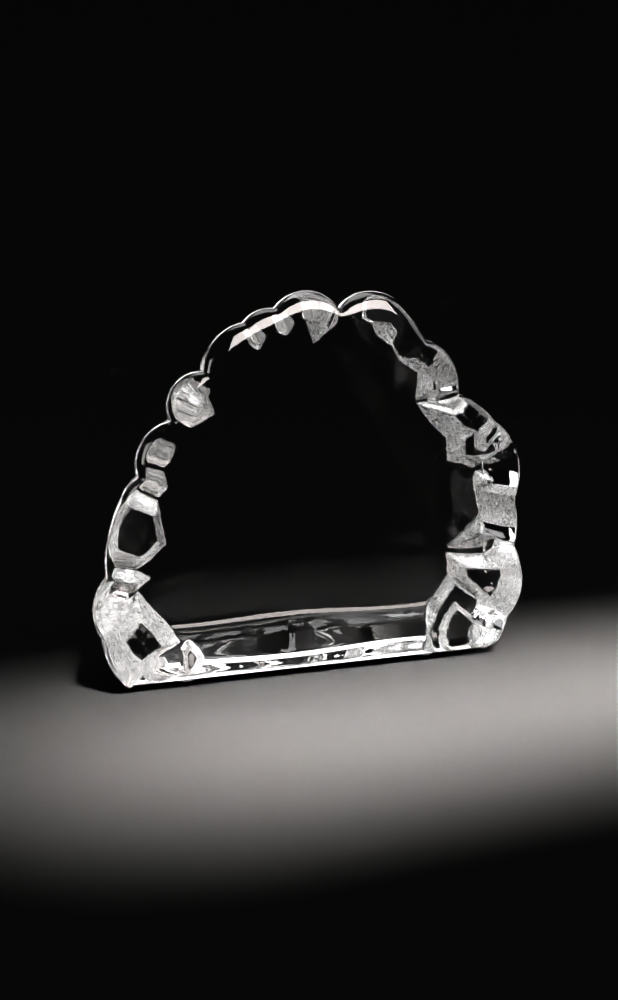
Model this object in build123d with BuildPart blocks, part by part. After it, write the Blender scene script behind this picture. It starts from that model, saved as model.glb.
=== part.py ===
"""Free-standing slab of clear cast crystal with a rim like broken ice.

Millimetres, +Z up. The origin is the middle of the footprint on the table and the polished face looks to -Y.
"""
import os
from math import cos, radians, sin

from build123d import *

# Overall size of the sculpture
WIDTH = 148.0
HEIGHT = 121.0
THICKNESS = 40.0

# The fire-polished front: it rolls over to a straight lip by a steep and a shallow bevel, and the
# foot is round. The drop of a bevel is measured down the side that it starts from.
LIP_STRAIGHT = 1.0
STEEP_INSET = 1.9
STEEP_DROP = 4.0
SHALLOW_INSET = 3.6
SHALLOW_DROP = 2.1
FOOT_ROUND = 9.0

# The moulded rim: its outline shrinks towards the back, about a hub right of the middle
BACK_SHARE = 0.864
HUB = (65, 45)
HOLLOW_ROUND = 2.5

# The bevel that was cut along the foot of the back
BEVEL_HEIGHT = 12.0
BEVEL_DEPTH = 10.0
BEVEL_WAVE = 0.7

# Clear pads glued under the corners
PAD_DIAMETER = 6.0
PAD_HEIGHT = 1.5
PAD_SPACING = 84.0
PAD_MARGIN = 1.5

# Knolls of the rim, clockwise from the left foot. Each arc has its end in per cent of the half
# width and of the height, and its rise in per cent of its chord. Without a rise it runs on
# smoothly from the arc before, and otherwise there is a hollow between them.
RIM_START = (-79, -1.5)
SMOOTH = None
KNOLLS = [
    (-96.5, 14.5, 13), (-94.5, 30, 17), (-88, 48.5, 7), (-81, 54.5, 9.5), (-67, 68, 21), (-53, 80, 27),
    (-35, 92, 16.5), (-21.5, 95.5, 12.5), (-11, 99.5, 7.5), (7.5, 95.5, SMOOTH), (19, 99.5, 8),
    (36, 97, SMOOTH), (48.5, 87, SMOOTH), (65, 72.5, 22.5), (84, 65, 8), (95, 43.5, 20.5),
    (95, 30, 8), (91.5, 10.5, 21.5), (76, -1.5, 11),
]

# Flakes struck off the back edge. Each mouth has two corners with the apex between them, in
# per cent of the half width and of the height. Then come the depth at the apex, the rake of
# the walls and the slope of the floor in degrees.
FLAKES = [
    # left foot
    ((-41, 3), (-51, 8.5), (-56, 7), 8, 16, 10),
    ((-59, 6.5), (-65, 12), (-72, 16.5), 20, 35, 20),
    ((-54.5, 8), (-63.5, 15.5), (-73, 22.5), 12, 24, 15),
    # left side
    ((-73, 28.5), (-60, 34), (-63.5, 45.5), 13, 20, 35),
    ((-63, 46.5), (-58.5, 48.5), (-60, 53), 8, 28, 50),
    ((-59.5, 54), (-56, 57), (-54, 60), 8, 28, 55),
    ((-48, 64.5), (-37.5, 67.5), (-40.5, 73), 8, 28, 45),
    ((-41, 71.5), (-35, 75.5), (-36, 78), 8, 28, 52),
    # teeth along the top
    ((-22, 84), (-17, 85), (-10.5, 88), 5, 36, 45),
    ((-9.5, 88), (-4, 89), (0.5, 91), 5, 36, 45),
    ((5, 92), (9.5, 86), (20.5, 91), 10, 40, 20),
    # right shoulder
    ((36, 92.5), (39, 88), (53, 83.5), 11, 14, 5),
    ((51.5, 85), (52.5, 80.5), (61, 77.5), 9, 14, 5),
    ((60.5, 79), (59.5, 70), (80, 71.5), 10, 16, 5),
    ((67, 84.5), (62, 78), (61, 71.5), 20, 32, 10),
    # right side
    ((81.5, 70.5), (60, 69), (74, 59), 13, 18, 10),
    ((74.5, 60), (75, 53), (89.5, 50), 13, 12, 10),
    ((75.5, 63), (77, 53.5), (90, 51), 20, 20, 10),
    ((90.5, 49), (89, 46.5), (92, 38), 9, 14, 20),
    ((90, 44.5), (92.5, 36), (113.5, 34.5), 11, 40, 30),
    ((94, 37), (75.5, 27.5), (112, 27), 10, 45, 20),
    ((111.5, 24.5), (76, 26), (76.5, 19), 12, 14, 15),
    # right foot
    ((76.5, 20), (66.5, 12), (59.5, 4), 8, 16, 5),
    ((76, 15.5), (68.5, 10.5), (63, 4.5), 13, 18, 5),
    ((76.5, 16), (68.5, 11.5), (63, 6.5), 19, 35, 15),
]

FRONT_Y = -THICKNESS / 2
BACK_Y = THICKNESS / 2
LIP_DEPTH = STEEP_DROP + LIP_STRAIGHT
LIP_Y = FRONT_Y + LIP_DEPTH
BACKWARD = Vector(0, 1, 0)


def spot(across, up, y=BACK_Y):
    """Point at a per cent of the half width and of the height."""
    return Vector(across / 100 * WIDTH / 2, y, up / 100 * HEIGHT)


def upright(y):
    """Sketch plane parallel to the front face, with its x across and its y up."""
    return Plane(origin=(0, y, 0), x_dir=(1, 0, 0), z_dir=(0, -1, 0))


def rim(y, share):
    """Outline of the slab at a depth, drawn in towards the hub and carried on below the foot."""
    hub = spot(*HUB)

    def drawn_in(across, up):
        point = hub + (spot(across, up) - hub) * share
        return point.X, point.Z

    below = -HEIGHT / 10
    with BuildSketch(upright(y)) as outline:
        with BuildLine():
            start = first = drawn_in(*RIM_START)
            hollows = []
            for across, up, rise in KNOLLS:
                end = drawn_in(across, up)
                if rise is SMOOTH:
                    arc = TangentArc(start, end, tangent=arc % 1)
                else:
                    chord = (Vector(*end) - Vector(*start)).length
                    arc = SagittaArc(start, end, rise / 100 * chord)
                    hollows.append(start)
                start = end
            Polyline(start, (start[0], below), (first[0], below), first)
        make_face()
        corners = [outline.vertices().sort_by_distance(hollow)[0] for hollow in hollows[1:]]
        fillet(corners, radius=HOLLOW_ROUND * share)
    return outline.sketch


def flake(corner, apex, other_corner, depth, rake, slope):
    """Chip of glass behind two raked walls and a floor that slopes down to the outside."""
    corner, apex, other_corner = spot(*corner), spot(*apex), spot(*other_corner)
    edge, other_edge = (corner - apex).normalized(), (other_corner - apex).normalized()
    outward = (edge + other_edge).normalized()
    sides = [
        (apex, edge, outward),
        (apex, other_edge, outward),
        (corner, outward, other_corner - corner),
        (other_corner, outward, corner - other_corner),
    ]
    floor_up = BACKWARD * cos(radians(slope)) + outward * sin(radians(slope))
    with BuildPart() as chip:
        with Locations((apex.X, LIP_Y, apex.Z)):
            Box(WIDTH, 2 * THICKNESS, WIDTH, align=(Align.CENTER, Align.MIN, Align.CENTER))
        split(bisect_by=Plane(origin=apex - BACKWARD * depth, z_dir=floor_up))
        for start, run, inside in sides:
            inward = BACKWARD.cross(run)
            if inward.dot(inside) < 0:
                inward = -inward
            wall_up = BACKWARD * sin(radians(rake)) + inward * cos(radians(rake))
            split(bisect_by=Plane(origin=start, z_dir=wall_up))
    return chip.part


def foot_bevel():
    """Wedge along the foot of the back, with a gently wavy upper edge."""
    reach, below = WIDTH, -HEIGHT / 10
    top = PAD_HEIGHT + BEVEL_HEIGHT
    with BuildPart() as wedge:
        with BuildSketch(upright(BACK_Y)):
            with BuildLine():
                wave = [(reach * (i / 4 - 1), top + BEVEL_WAVE * (-1) ** i) for i in range(9)]
                Spline(*wave)
                Polyline(wave[-1], (reach, below), (-reach, below), wave[0])
            make_face()
        with BuildSketch(upright(BACK_Y - BEVEL_DEPTH)):
            with BuildLine():
                Polyline((-reach, PAD_HEIGHT), (reach, PAD_HEIGHT), (reach, below), (-reach, below), close=True)
            make_face()
        loft(ruled=True)
    return wedge.part


# The slab: lip and moulded rim, ground flat below, then chipped
with BuildPart() as glass_block:
    extrude(rim(LIP_Y, 1), amount=LIP_DEPTH)
    split(bisect_by=Plane.XY.offset(PAD_HEIGHT))
    for inset, drop in ((STEEP_INSET, STEEP_DROP), (SHALLOW_INSET, SHALLOW_DROP)):
        face = glass_block.faces().sort_by(Axis.Y)[0]
        chamfer(face.edges().filter_by(GeomType.CIRCLE), length=inset, length2=drop, reference=face)
    loft([rim(LIP_Y, 1), rim(BACK_Y, BACK_SHARE)], ruled=True)
    split(bisect_by=Plane.XY.offset(PAD_HEIGHT))
    with BuildSketch(Plane.YZ):
        with Locations((FRONT_Y, PAD_HEIGHT)):
            Rectangle(FOOT_ROUND, FOOT_ROUND, align=Align.MIN)
        with Locations((FRONT_Y + FOOT_ROUND, PAD_HEIGHT + FOOT_ROUND)):
            Circle(FOOT_ROUND, mode=Mode.SUBTRACT)
    extrude(amount=WIDTH, both=True, mode=Mode.SUBTRACT)
    add(foot_bevel(), mode=Mode.SUBTRACT)
    for sizes in FLAKES:
        add(flake(*sizes), mode=Mode.SUBTRACT)

os.makedirs("parts", exist_ok=True)
glass_block.part.label = "glass_block"
export_step(glass_block.part, "parts/glass_block.step")

# The pads stand at the ends of the flat strip between the rounded front and the bevel
pad_front = FRONT_Y + FOOT_ROUND + PAD_MARGIN + PAD_DIAMETER / 2
pad_back = BACK_Y - BEVEL_DEPTH - PAD_MARGIN - PAD_DIAMETER / 2
for depth_name, pad_y in (("front", pad_front), ("back", pad_back)):
    for side_name, pad_x in (("left", -PAD_SPACING / 2), ("right", PAD_SPACING / 2)):
        name = f"foot_{depth_name}_{side_name}"
        with BuildPart() as pad:
            with Locations((pad_x, pad_y, 0)):
                Cylinder(PAD_DIAMETER / 2, PAD_HEIGHT, align=(Align.CENTER, Align.CENTER, Align.MIN))
        pad.part.label = name
        export_step(pad.part, f"parts/{name}.step")
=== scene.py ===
import math
import bpy
import numpy as np
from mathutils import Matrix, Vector


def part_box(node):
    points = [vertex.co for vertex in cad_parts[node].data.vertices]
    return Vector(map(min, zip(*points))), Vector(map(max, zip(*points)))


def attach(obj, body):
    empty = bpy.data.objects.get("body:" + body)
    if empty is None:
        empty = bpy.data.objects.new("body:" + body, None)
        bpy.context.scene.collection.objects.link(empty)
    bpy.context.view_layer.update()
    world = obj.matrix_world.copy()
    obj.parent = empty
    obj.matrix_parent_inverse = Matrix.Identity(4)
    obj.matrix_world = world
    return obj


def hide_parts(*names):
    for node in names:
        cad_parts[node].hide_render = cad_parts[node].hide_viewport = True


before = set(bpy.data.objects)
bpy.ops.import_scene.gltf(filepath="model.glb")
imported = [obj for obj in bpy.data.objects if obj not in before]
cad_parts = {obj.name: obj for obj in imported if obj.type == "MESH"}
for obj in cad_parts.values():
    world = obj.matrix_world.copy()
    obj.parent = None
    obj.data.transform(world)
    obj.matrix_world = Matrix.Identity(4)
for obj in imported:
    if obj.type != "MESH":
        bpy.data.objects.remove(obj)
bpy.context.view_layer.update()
scene = bpy.context.scene


# The slab: one pour of clear crystal into an open mould with sides like broken rock. The front lay
# free and was fire-polished, the rim took the facets of the mould, and the foot was ground flat.
MM = 0.001
low, high = (np.array(corner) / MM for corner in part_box("glass_block"))
half_width = (high[0] - low[0]) / 2
foot, top = low[2], high[2]
front, back = low[1], high[1]
lip_depth = 5.0
lip = front + lip_depth


def spot(across, up):
    """Points of the face in mm, from per cent of the half width and of the height above the table."""
    return np.stack([np.asarray(across) / 100 * half_width, np.asarray(up) / 100 * top], -1)


def unit(vector):
    """Vector divided by its length."""
    return vector / np.hypot(*vector)


def arc_points(start, end, rise, count=60):
    """Circle arc from start to end, its last point left out, that bulges to the left by the rise."""
    chord, along = np.hypot(*(end - start)), unit(end - start)
    outward = np.array([-along[1], along[0]])
    radius = (chord ** 2 / 4 + rise ** 2) / (2 * rise)
    half_turn = math.asin(chord / 2 / radius)
    turn = np.linspace(-half_turn, half_turn, count)[:-1, None]
    run = radius * np.sin(turn) + chord / 2
    height = radius * np.cos(turn) - radius + rise
    return start + along * run + outward * height


def knobbly_outline(start, knolls):
    """Arc after arc from the left foot to the right one. An arc without a rise runs on smoothly."""
    points, begin, leaving = [], spot(*start), 0.0
    for across, up, rise in knolls:
        end = spot(across, up)
        span = end - begin
        chord, heading = np.hypot(*span), math.atan2(span[1], span[0])
        if rise is None:
            half_turn = (leaving - heading + math.pi) % math.tau - math.pi
            sagitta = math.tan(half_turn / 2) / 2 * chord
        else:
            sagitta = rise / 100 * chord
            half_turn = 2 * math.atan(2 * sagitta / chord)
        points.append(arc_points(begin, end, sagitta))
        leaving, begin = heading - half_turn, end
    return np.concatenate(points + [begin[None]])


# Knolls of the rim: the end of each arc in per cent of the half width and of the height, and its rise
# in per cent of its chord
rim = knobbly_outline((-79, -1.5), [
    (-96.5, 14.5, 13), (-94.5, 30, 17), (-88, 48.5, 7), (-81, 54.5, 9.5), (-67, 68, 21), (-53, 80, 27),
    (-35, 92, 16.5), (-21.5, 95.5, 12.5), (-11, 99.5, 7.5), (7.5, 95.5, None), (19, 99.5, 8),
    (36, 97, None), (48.5, 87, None), (65, 72.5, 22.5), (84, 65, 8), (95, 43.5, 20.5),
    (95, 30, 8), (91.5, 10.5, 21.5), (76, -1.5, 11),
])

# Flakes struck off the back edge: corner, apex and corner of the mouth in per cent, the depth in mm,
# the rake of the walls and the slope of the floor in degrees, and how satin the floor is
flakes = [
    # left foot
    ((-41, 3), (-51, 8.5), (-56, 7), 8, 16, 10, 0),
    ((-59, 6.5), (-65, 12), (-72, 16.5), 20, 35, 20, 1),
    ((-54.5, 8), (-63.5, 15.5), (-73, 22.5), 12, 24, 15, 0),
    # left side
    ((-73, 28.5), (-60, 34), (-63.5, 45.5), 13, 16, 6, 0),
    ((-74, 22.5), (-67, 25.5), (-74, 28.5), 5, 25, 35, 1),
    ((-63, 46.5), (-58.5, 48.5), (-60, 53), 8, 28, 50, 1),
    ((-59.5, 54), (-56, 57), (-54, 60), 8, 28, 55, 1),
    ((-48, 64.5), (-37.5, 67.5), (-40.5, 73), 8, 28, 45, 0),
    ((-41, 71.5), (-35, 75.5), (-36, 78), 8, 28, 52, 0),
    # teeth along the top
    ((-21.5, 85.5), (-16.5, 84.3), (-11.5, 88.5), 5, 36, 45, 1),
    ((-8.5, 89), (-3.5, 88.3), (0, 91.5), 5, 36, 45, 1),
    ((5, 92), (9.5, 86), (20.5, 91), 10, 40, 20, 1),
    # right shoulder
    ((36, 92.5), (39, 88), (53, 83.5), 11, 14, 5, 0),
    ((51.5, 85), (52.5, 80.5), (61, 77.5), 9, 14, 5, 0),
    ((60.5, 79), (59.5, 70), (80, 71.5), 10, 16, 5, 0),
    ((67, 84.5), (62, 78), (61, 71.5), 20, 32, 10, 0),
    # right side
    ((81.5, 70.5), (60, 69), (74, 59), 13, 18, 10, 0),
    ((74.5, 60), (75, 53), (89.5, 50), 13, 12, 10, 0),
    ((75.5, 63), (77, 53.5), (90, 51), 20, 20, 10, 0),
    ((90.5, 49), (89, 46.5), (92, 38), 9, 14, 20, 0),
    ((90, 44.5), (92.5, 36), (113.5, 34.5), 11, 40, 30, 1),
    ((94, 37), (75.5, 27.5), (112, 27), 10, 45, 20, 1),
    ((111.5, 24.5), (76, 26), (76.5, 19), 12, 14, 15, 0),
    # right foot
    ((76.5, 20), (66.5, 12), (59.5, 4), 8, 16, 5, 0),
    ((76, 15.5), (68.5, 10.5), (63, 4.5), 13, 18, 5, 0),
    ((76.5, 16), (68.5, 11.5), (63, 6.5), 19, 35, 15, 1),
]

# Where the drafted sides are broken and satin too, and where they stayed smooth: the middle in per
# cent and the reach in mm
rough_patches = [
    (-80, 5, 15), (-89, 35, 7), (-86, 43, 5), (-83, 51, 4), (-62, 72, 9), (66, 77, 4.5), (76, 67, 5),
    (95, 40, 7), (93, 18, 9), (80, 4, 12),
]
smooth_spots = [(-87, 19, 4.5), (-54, 74, 2.5), (88, 9, 3)]


def lattice_cells(x, z, size):
    """Cell that a point lies in and its place in that cell, both ways, for cells of the given size."""
    shift = 500
    u, v = x / size + shift, z / size + shift
    i, j = np.floor(u).astype(int), np.floor(v).astype(int)
    return i, j, u - i, v - j


def noise(x, z, size, seed, cells=64):
    """Smooth random relief between -1 and 1 with knobs of the given size, from a seeded lattice."""
    lattice = np.random.default_rng(seed).uniform(-1, 1, (cells, cells))
    i, j, a, b = lattice_cells(x, z, size)
    a, b = a * a * (3 - 2 * a), b * b * (3 - 2 * b)
    i, j, next_i, next_j = i % cells, j % cells, (i + 1) % cells, (j + 1) % cells
    near = lattice[i, j] * (1 - b) + lattice[i, next_j] * b
    far = lattice[next_i, j] * (1 - b) + lattice[next_i, next_j] * b
    return near * (1 - a) + far * a


def dimples(x, z, size, seed, cells=64):
    """Squared distance to the nearest of scattered points: shallow shells with sharp ridges between."""
    jitter = np.random.default_rng(seed).uniform(0, 1, (cells, cells, 2))
    i, j, a, b = lattice_cells(x, z, size)
    nearest = np.full_like(x, np.inf)
    for di in (-1, 0, 1):
        for dj in (-1, 0, 1):
            seat = jitter[(i + di) % cells, (j + dj) % cells]
            nearest = np.minimum(nearest, (di + seat[..., 0] - a) ** 2 + (dj + seat[..., 1] - b) ** 2)
    return nearest


def lesser(a, b, blend):
    """Smaller of two heights with a rounded edge where they meet."""
    h = np.clip(0.5 + 0.5 * (b - a) / blend, 0, 1)
    return b + (a - b) * h - blend * h * (1 - h)


def greater(a, b, blend):
    """Larger of two heights with a rounded inner corner where they meet."""
    return -lesser(-a, -b, blend)


def wobbled(along, x, z, seed):
    """Coordinate shifted by a coarse and a fine relief, which makes straight edges look broken."""
    coarse, coarse_size, fine, fine_size = 0.5, 7, 0.16, 1.9
    return along + coarse * noise(x, z, coarse_size, seed) + fine * noise(x, z, fine_size, seed + 1)


def shrink_share(x, z):
    """Share to which the outline has shrunk about its hub where it passes a point, in polar form."""
    hub, below, far_off = spot(65, 45), np.array([0.0, -top / 10]), 1e3
    path = np.concatenate([rim[:1] * [1, 0] + below, rim, rim[-1:] * [1, 0] + below]) - hub
    angle = np.mod(-math.pi / 2 - np.arctan2(path[:, 1], path[:, 0]), math.tau)
    angle = np.maximum.accumulate(angle)
    own = np.mod(-math.pi / 2 - np.arctan2(z - hub[1], x - hub[0]), math.tau)
    reach = np.interp(own, angle, np.hypot(path[:, 0], path[:, 1]), left=far_off, right=far_off)
    return np.hypot(x - hub[0], z - hub[1]) / reach


def chipped_back(x, z):
    """Depth of the back and how satin it is: a flat face, drafted towards the rim, chipped and bevelled.

    A flake is the highest of a sloping floor and four raked walls, and the back the lowest of them all.
    """
    back_share, back_round, chip_round = 0.864, 0.8, 0.5
    bevel_height, bevel_depth, bevel_wave, bevel_round = 12, 10, 0.7, 4.0
    shell, shell_size, chink, chink_size, clear_skin = 0.7, 2.8, 0.5, 1.2, 0.3
    broken_x, broken_z = wobbled(x, x, z, 1), wobbled(z, x, z, 3)

    def away(across, up):
        """Distance to a spot, seen on the wobbled surface."""
        middle = spot(across, up)
        return np.hypot(broken_x - middle[0], broken_z - middle[1])

    def past(start, direction):
        """Distance past a start along a direction, seen on the wobbled surface."""
        return (broken_x - start[0]) * direction[0] + (broken_z - start[1]) * direction[1]

    drafted = lip + (back - lip) * (1 - shrink_share(broken_x, broken_z)) / (1 - back_share)
    depth = lesser(np.full_like(x, back), np.maximum(drafted, lip), back_round)
    satin = np.zeros_like(x)
    for across, up, reach in rough_patches:
        satin = np.where(away(across, up) < reach, 1, satin)
    for corner, apex, other, deep, rake, slope, satin_floor in flakes:
        corner, apex, other = spot(*corner), spot(*apex), spot(*other)
        edge, second = unit(corner - apex), unit(other - apex)
        outward = unit(edge + second)
        chip = back - deep - math.tan(math.radians(slope)) * past(apex, outward)
        chip_satin = np.full_like(x, satin_floor)
        sides = [(apex, edge, outward), (apex, second, outward),
                 (corner, outward, other - corner), (other, outward, corner - other)]
        for start, along, inside in sides:
            inward = np.array([-along[1], along[0]])
            inward = inward * np.sign(inward @ inside)
            wall = back - past(start, inward) / math.tan(math.radians(rake))
            chip_satin = np.where(wall > chip, 1, chip_satin)
            chip = greater(chip, wall, chip_round)
        chip = np.maximum(chip, lip)
        satin = np.where(chip < depth, chip_satin, satin)
        depth = lesser(depth, chip, chip_round)
    for across, up, reach in smooth_spots:
        satin = np.where(away(across, up) < reach, 0, satin)
    bevel_top = foot + bevel_height + bevel_wave * np.cos(math.tau * x / half_width)
    bevel = back - bevel_depth * (bevel_top - z) / (bevel_top - foot)
    satin = np.where(bevel < depth, 0, satin)
    depth = lesser(depth, bevel, bevel_round)
    satin = np.where(depth < back - clear_skin, satin, 0)
    crackle = shell * dimples(x, z, shell_size, 5) + chink * dimples(x, z, chink_size, 6)
    return np.maximum(depth - satin * crackle, lip), satin


def quarter_round(gap, radius):
    """Drop of a quarter circle at a gap from the edge that it rounds, and none beyond its radius."""
    share = np.clip(gap / radius, 0, 1)
    return radius * (1 - np.sqrt(1 - (1 - share) ** 2))


def rolled_front(z, edge, inside):
    """Depth of the front: flat, sinking towards the evened rim, with rounds at the rim and the foot."""
    lip_round, foot_round = 2.0, 9.0
    sink, sink_width, sink_height = 2.4, 7.5, 25
    sunk = sink * np.clip(1 - inside / sink_width, 0, 1) ** 2 * np.clip((z - foot) / sink_height, 0, 1)
    over_rim = np.minimum(quarter_round(edge, lip_round) + sunk, lip - front)
    return front + np.maximum(over_rim, quarter_round(z - foot, foot_round))


def distance(points, path):
    """Distance of each point to the nearest piece of a polyline, in blocks of points."""
    start, step = path[:-1], np.diff(path, axis=0)
    length, block_size = (step ** 2).sum(1), 3000
    blocks = []
    for block in np.array_split(points, len(points) // block_size + 1):
        offset = block[:, None] - start
        share = np.clip((offset * step).sum(2) / length, 0, 1)
        blocks.append(np.sqrt(((offset - share[..., None] * step) ** 2).sum(2).min(1)))
    return np.concatenate(blocks)


# The outline in even steps: the rim above the foot, and the ground edge back along the foot
around, ground_count = 1000, 300
standing = rim[rim[:, 1] >= foot]
ground_x = np.linspace(standing[-1, 0], standing[0, 0], ground_count)
ground = np.stack([ground_x, np.full(ground_count, foot)], 1)
loop = np.concatenate([standing, ground[1:]])
measure = np.concatenate([[0], np.cumsum(np.hypot(*np.diff(loop, axis=0).T))])
even = np.linspace(0, measure[-1], around, endpoint=False)
outer = np.stack([np.interp(even, measure, loop[:, 0]), np.interp(even, measure, loop[:, 1])], 1)
centre = spot(8, 42)


def rings(shares):
    """The outline drawn in towards the centre, once for each share."""
    return centre + (outer - centre) * np.asarray(shares)[:, None, None]


def from_centre(points):
    """Distance of points to the centre of the face."""
    return np.hypot(points[..., 0] - centre[0], points[..., 1] - centre[1])


def evened(reach, steps):
    """Reach all round the outline, blurred by a bell curve over some steps of the outline."""
    waves = np.arange(around // 2 + 1) / around * math.tau
    return np.fft.irfft(np.fft.rfft(reach) * np.exp(-0.5 * (waves * steps) ** 2), around)


# Rings from the centre of the front out to the rim, over the side, and in again to the back's centre
front_band, front_count, evening_steps = 0.24, 20, 11
front_rings = rings(1 - front_band * np.linspace(1, 0, front_count) ** 2)
edge = distance(front_rings.reshape(-1, 2), rim).reshape(front_rings.shape[:2])
inside = evened(from_centre(outer), evening_steps) - from_centre(front_rings)
front_depth = rolled_front(front_rings[..., 1], edge, inside)
back_band, back_count, crowding = 0.40, 70, 1.05
back_rings = rings(1 - back_band * np.linspace(0, 1, back_count) ** crowding)
back_depth, satin = chipped_back(back_rings[..., 0], back_rings[..., 1])
side_count = 3
side_share = np.linspace(0, 1, side_count + 2)[1:-1, None]
side_depth = front_depth[-1] * (1 - side_share) + back_depth[0] * side_share
face = rings([0.02, 0.4])
flat = np.ones(face.shape[:2])
plan = np.concatenate([face, front_rings, np.repeat(outer[None], side_count, 0), back_rings, face[::-1]])
depth = np.concatenate([flat * front, front_depth, side_depth, back_depth, flat * back])
satin = np.concatenate([flat * 0, front_depth * 0, side_depth * 0, satin, flat * 0])


def ring_mesh(name, points, lidded=True):
    """Smooth mesh of quads between neighbouring rings, capped in the first and lidded on the last."""
    rows, columns = points.shape[:2]
    index = np.arange(rows * columns).reshape(rows, columns)
    near, far = index[:-1], index[1:]
    quads = np.stack([near, np.roll(near, -1, 1), np.roll(far, -1, 1), far], -1).reshape(-1, 4)
    ends = [index[0, ::-1].tolist()] + ([index[-1].tolist()] if lidded else [])
    mesh = bpy.data.meshes.new(name)
    mesh.from_pydata(points.reshape(-1, 3), [], quads.tolist() + ends)
    mesh.polygons.foreach_set("use_smooth", np.ones(len(mesh.polygons), bool))
    return mesh


mesh = ring_mesh("crystal_slab", np.stack([plan[..., 0], depth, plan[..., 1]], -1) * MM)
satin_values = mesh.attributes.new("satin", "FLOAT", "POINT").data
satin_values.foreach_set("value", satin.ravel().astype(np.float32))
slab = bpy.data.objects.new("crystal_slab", mesh)
scene.collection.objects.link(slab)

# Clear crystal: the satin parts get a fine grain and a mottled haze, and the rest stays polished
crystal = bpy.data.materials.new("clear_crystal")
crystal.use_nodes = True
nodes, links = crystal.node_tree.nodes, crystal.node_tree.links
shader = nodes["Principled BSDF"]
shader.inputs["Base Color"].default_value = (1, 1, 1, 1)
shader.inputs["Transmission Weight"].default_value = 1.0
shader.inputs["IOR"].default_value = 1.52
satin_mask = nodes.new("ShaderNodeAttribute")
satin_mask.attribute_name = "satin"
place = nodes.new("ShaderNodeTexCoord")
grain = nodes.new("ShaderNodeTexNoise")
grain.inputs["Scale"].default_value = 1300
grain.inputs["Detail"].default_value = 3
relief = nodes.new("ShaderNodeBump")
relief.inputs["Distance"].default_value = 0.0006
mottle = nodes.new("ShaderNodeTexNoise")
mottle.inputs["Scale"].default_value = 600
mottle.inputs["Detail"].default_value = 4
haze = nodes.new("ShaderNodeMapRange")
haze.inputs["From Min"].default_value = 0.43
haze.inputs["From Max"].default_value = 0.57
haze.inputs["To Min"].default_value = 0.03
haze.inputs["To Max"].default_value = 0.3
frost = nodes.new("ShaderNodeMath")
frost.operation = "MULTIPLY"
links.new(place.outputs["Object"], grain.inputs["Vector"])
links.new(grain.outputs["Fac"], relief.inputs["Height"])
links.new(satin_mask.outputs["Fac"], relief.inputs["Strength"])
links.new(place.outputs["Object"], mottle.inputs["Vector"])
links.new(mottle.outputs["Fac"], haze.inputs["Value"])
links.new(haze.outputs["Result"], frost.inputs[0])
links.new(satin_mask.outputs["Fac"], frost.inputs[1])
links.new(frost.outputs["Value"], shader.inputs["Roughness"])
links.new(relief.outputs["Normal"], shader.inputs["Normal"])
mesh.materials.append(crystal)
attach(slab, "root")
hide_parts("glass_block")


# The pads: four small bumpers of clear silicone with a bulging side and a slightly cloudy skin, stuck
# under the corners of the foot so that the glass doesn't scratch the table.
silicone = bpy.data.materials.new("clear_silicone")
silicone.use_nodes = True
nodes, links = silicone.node_tree.nodes, silicone.node_tree.links
shader = nodes["Principled BSDF"]
shader.inputs["Base Color"].default_value = (0.82, 0.84, 0.84, 1)
shader.inputs["Transmission Weight"].default_value = 0.7
shader.inputs["IOR"].default_value = 1.41
place = nodes.new("ShaderNodeTexCoord")
cloud = nodes.new("ShaderNodeTexNoise")
cloud.inputs["Scale"].default_value = 1500
soft = nodes.new("ShaderNodeMapRange")
soft.inputs["To Min"].default_value = 0.25
soft.inputs["To Max"].default_value = 0.45
links.new(place.outputs["Object"], cloud.inputs["Vector"])
links.new(cloud.outputs["Fac"], soft.inputs["Value"])
links.new(soft.outputs["Result"], shader.inputs["Roughness"])


def turned(middle, reach, level, count):
    """Rings of points about an upright axis, clockwise from above, one for each reach and level."""
    turn = np.linspace(0, -math.tau, count, endpoint=False)
    x = middle[0] + reach[:, None] * np.cos(turn)
    y = middle[1] + reach[:, None] * np.sin(turn)
    return np.stack([x, y, np.broadcast_to(level[:, None], x.shape)], -1)


def domed_pad(low, high):
    """Round pad turned from a profile that fills its box: flat top, half-round side and flat sole."""
    radius, height = (high[0] - low[0]) / 2, high[2] - low[2]
    flat_share, inner_shares, side_count, turn_count = 0.82, [0.02, 0.5], 13, 64
    bulge = np.linspace(math.pi / 2, -math.pi / 2, side_count)
    side = flat_share + (1 - flat_share) * np.cos(bulge)
    reach = np.concatenate([inner_shares, side, inner_shares[::-1]]) * radius
    level = np.concatenate([[1, 1], 0.5 + 0.5 * np.sin(bulge), [0, 0]]) * height + low[2]
    return turned((low + high) / 2, reach, level, turn_count)


for node in ("foot_front_left", "foot_front_right", "foot_back_left", "foot_back_right"):
    low, high = (np.array(corner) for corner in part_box(node))
    mesh = ring_mesh(node + "_pad", domed_pad(low, high))
    mesh.materials.append(silicone)
    pad = bpy.data.objects.new(node + "_pad", mesh)
    scene.collection.objects.link(pad)
    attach(pad, "root")
    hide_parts(node)


# The stage: a seamless sheet of pale matt card, flat under the slab and curled up all round. One low
# light falls on the card in front of the slab, and the other soft lights reach the glass alone.
flat_reach, curl_radius, wall_top, curl_count, turn_count = 1.3, 0.7, 2.5, 13, 96
curl = np.linspace(-math.pi / 2, 0, curl_count)
wall_reach = flat_reach + curl_radius
reach = np.concatenate([[0.01, 0.6], flat_reach + curl_radius * np.cos(curl), [wall_reach]])
level = np.concatenate([[0, 0], curl_radius + curl_radius * np.sin(curl), [wall_top]])
mesh = ring_mesh("table_top", turned((0, 0), reach, level, turn_count), lidded=False)
table_top = bpy.data.objects.new("table_top", mesh)
scene.collection.objects.link(table_top)
pale = bpy.data.materials.new("pale_table")
pale.use_nodes = True
nodes, links = pale.node_tree.nodes, pale.node_tree.links
matt = nodes.new("ShaderNodeBsdfDiffuse")
matt.inputs["Color"].default_value = (0.6, 0.6, 0.59, 1)
links.new(matt.outputs["BSDF"], nodes["Material Output"].inputs["Surface"])
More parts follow.
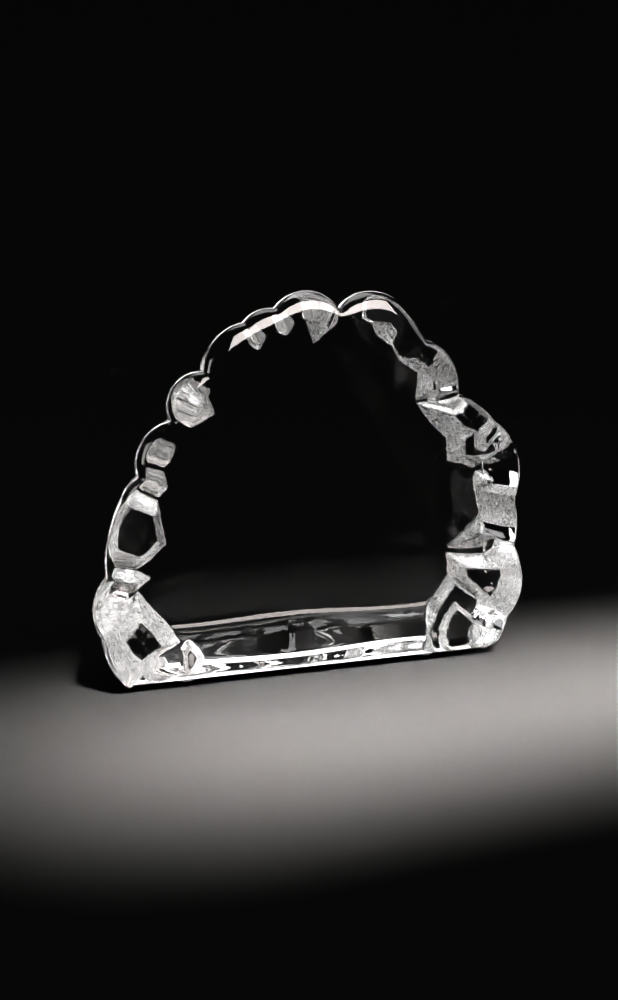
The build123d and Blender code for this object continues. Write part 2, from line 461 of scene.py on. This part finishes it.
mesh.materials.append(pale)


def softbox(name, place, aim, width, height, watts, spread=120, colour=(1, 1, 1)):
    """Rectangular soft light at a place, turned to its aim, with a cone of the given degrees."""
    light = bpy.data.lights.new(name, "AREA")
    light.shape = "RECTANGLE"
    light.size, light.size_y, light.energy = width, height, watts
    light.spread, light.color = math.radians(spread), colour
    lamp = bpy.data.objects.new(name, light)
    lamp.location = place
    lamp.rotation_euler = (Vector(aim) - Vector(place)).to_track_quat("-Z", "Y").to_euler()
    scene.collection.objects.link(lamp)
    return lamp


slab_middle = (0, 0, 0.06)
softbox("table_light", (0.05, -0.3, 0.4), (0.04, -0.07, 0.0), 0.26, 0.04, 0.06, 20, (1, 0.97, 0.95))
glass_lights = [
    softbox("front_box", (0.3, -0.75, 0.62), (0, 0, 0.1), 0.9, 0.36, 9, colour=(1, 0.92, 0.89)),
    softbox("left_box", (-0.75, -0.4, 0.4), slab_middle, 0.4, 0.4, 1.2),
    softbox("right_box", (0.8, -0.2, 0.5), slab_middle, 0.4, 0.4, 0.45),
    softbox("rear_box", (-0.05, 0.85, 0.6), slab_middle, 0.5, 0.3, 1.8),
    softbox("high_box", (0.45, -0.26, 0.8), slab_middle, 0.32, 0.32, 0.3),
    softbox("foot_box", (0.38, 0.68, 0.62), slab_middle, 0.5, 0.55, 1.2),
    softbox("top_box", (0.1, 0.1, 0.9), slab_middle, 0.6, 0.4, 1.2),
    softbox("far_left_box", (-0.45, 0.78, 0.2), slab_middle, 0.3, 0.3, 0.35),
]
for lamp in glass_lights:
    lamp.visible_diffuse = False
scene.world = bpy.data.worlds.new("studio")
scene.world.use_nodes = True
scene.world.node_tree.nodes["Background"].inputs["Color"].default_value = (0.006, 0.006, 0.006, 1)
scene.view_settings.view_transform = "Standard"
scene.cycles.caustics_reflective = False
scene.cycles.caustics_refractive = False
scene.cycles.max_bounces = 24
scene.cycles.transmission_bounces = 20
scene.cycles.glossy_bounces = 12


# The camera: half a metre from the slab, a little to the left of its face and above it, with a lens
# that is slightly longer than normal.
azimuth, pitch, away = math.radians(24), math.radians(7.94), 0.4864
aim = Vector((0.00296, 0, 0.05337))
level = math.cos(pitch)
looking = Vector((math.sin(azimuth) * level, math.cos(azimuth) * level, -math.sin(pitch)))
lens = bpy.data.cameras.new("camera")
lens.lens, lens.sensor_width, lens.clip_start = 54, 36, 0.01
camera = bpy.data.objects.new("camera", lens)
camera.location = aim - away * looking
camera.rotation_euler = looking.to_track_quat("-Z", "Y").to_euler()
scene.collection.objects.link(camera)
scene.camera = camera
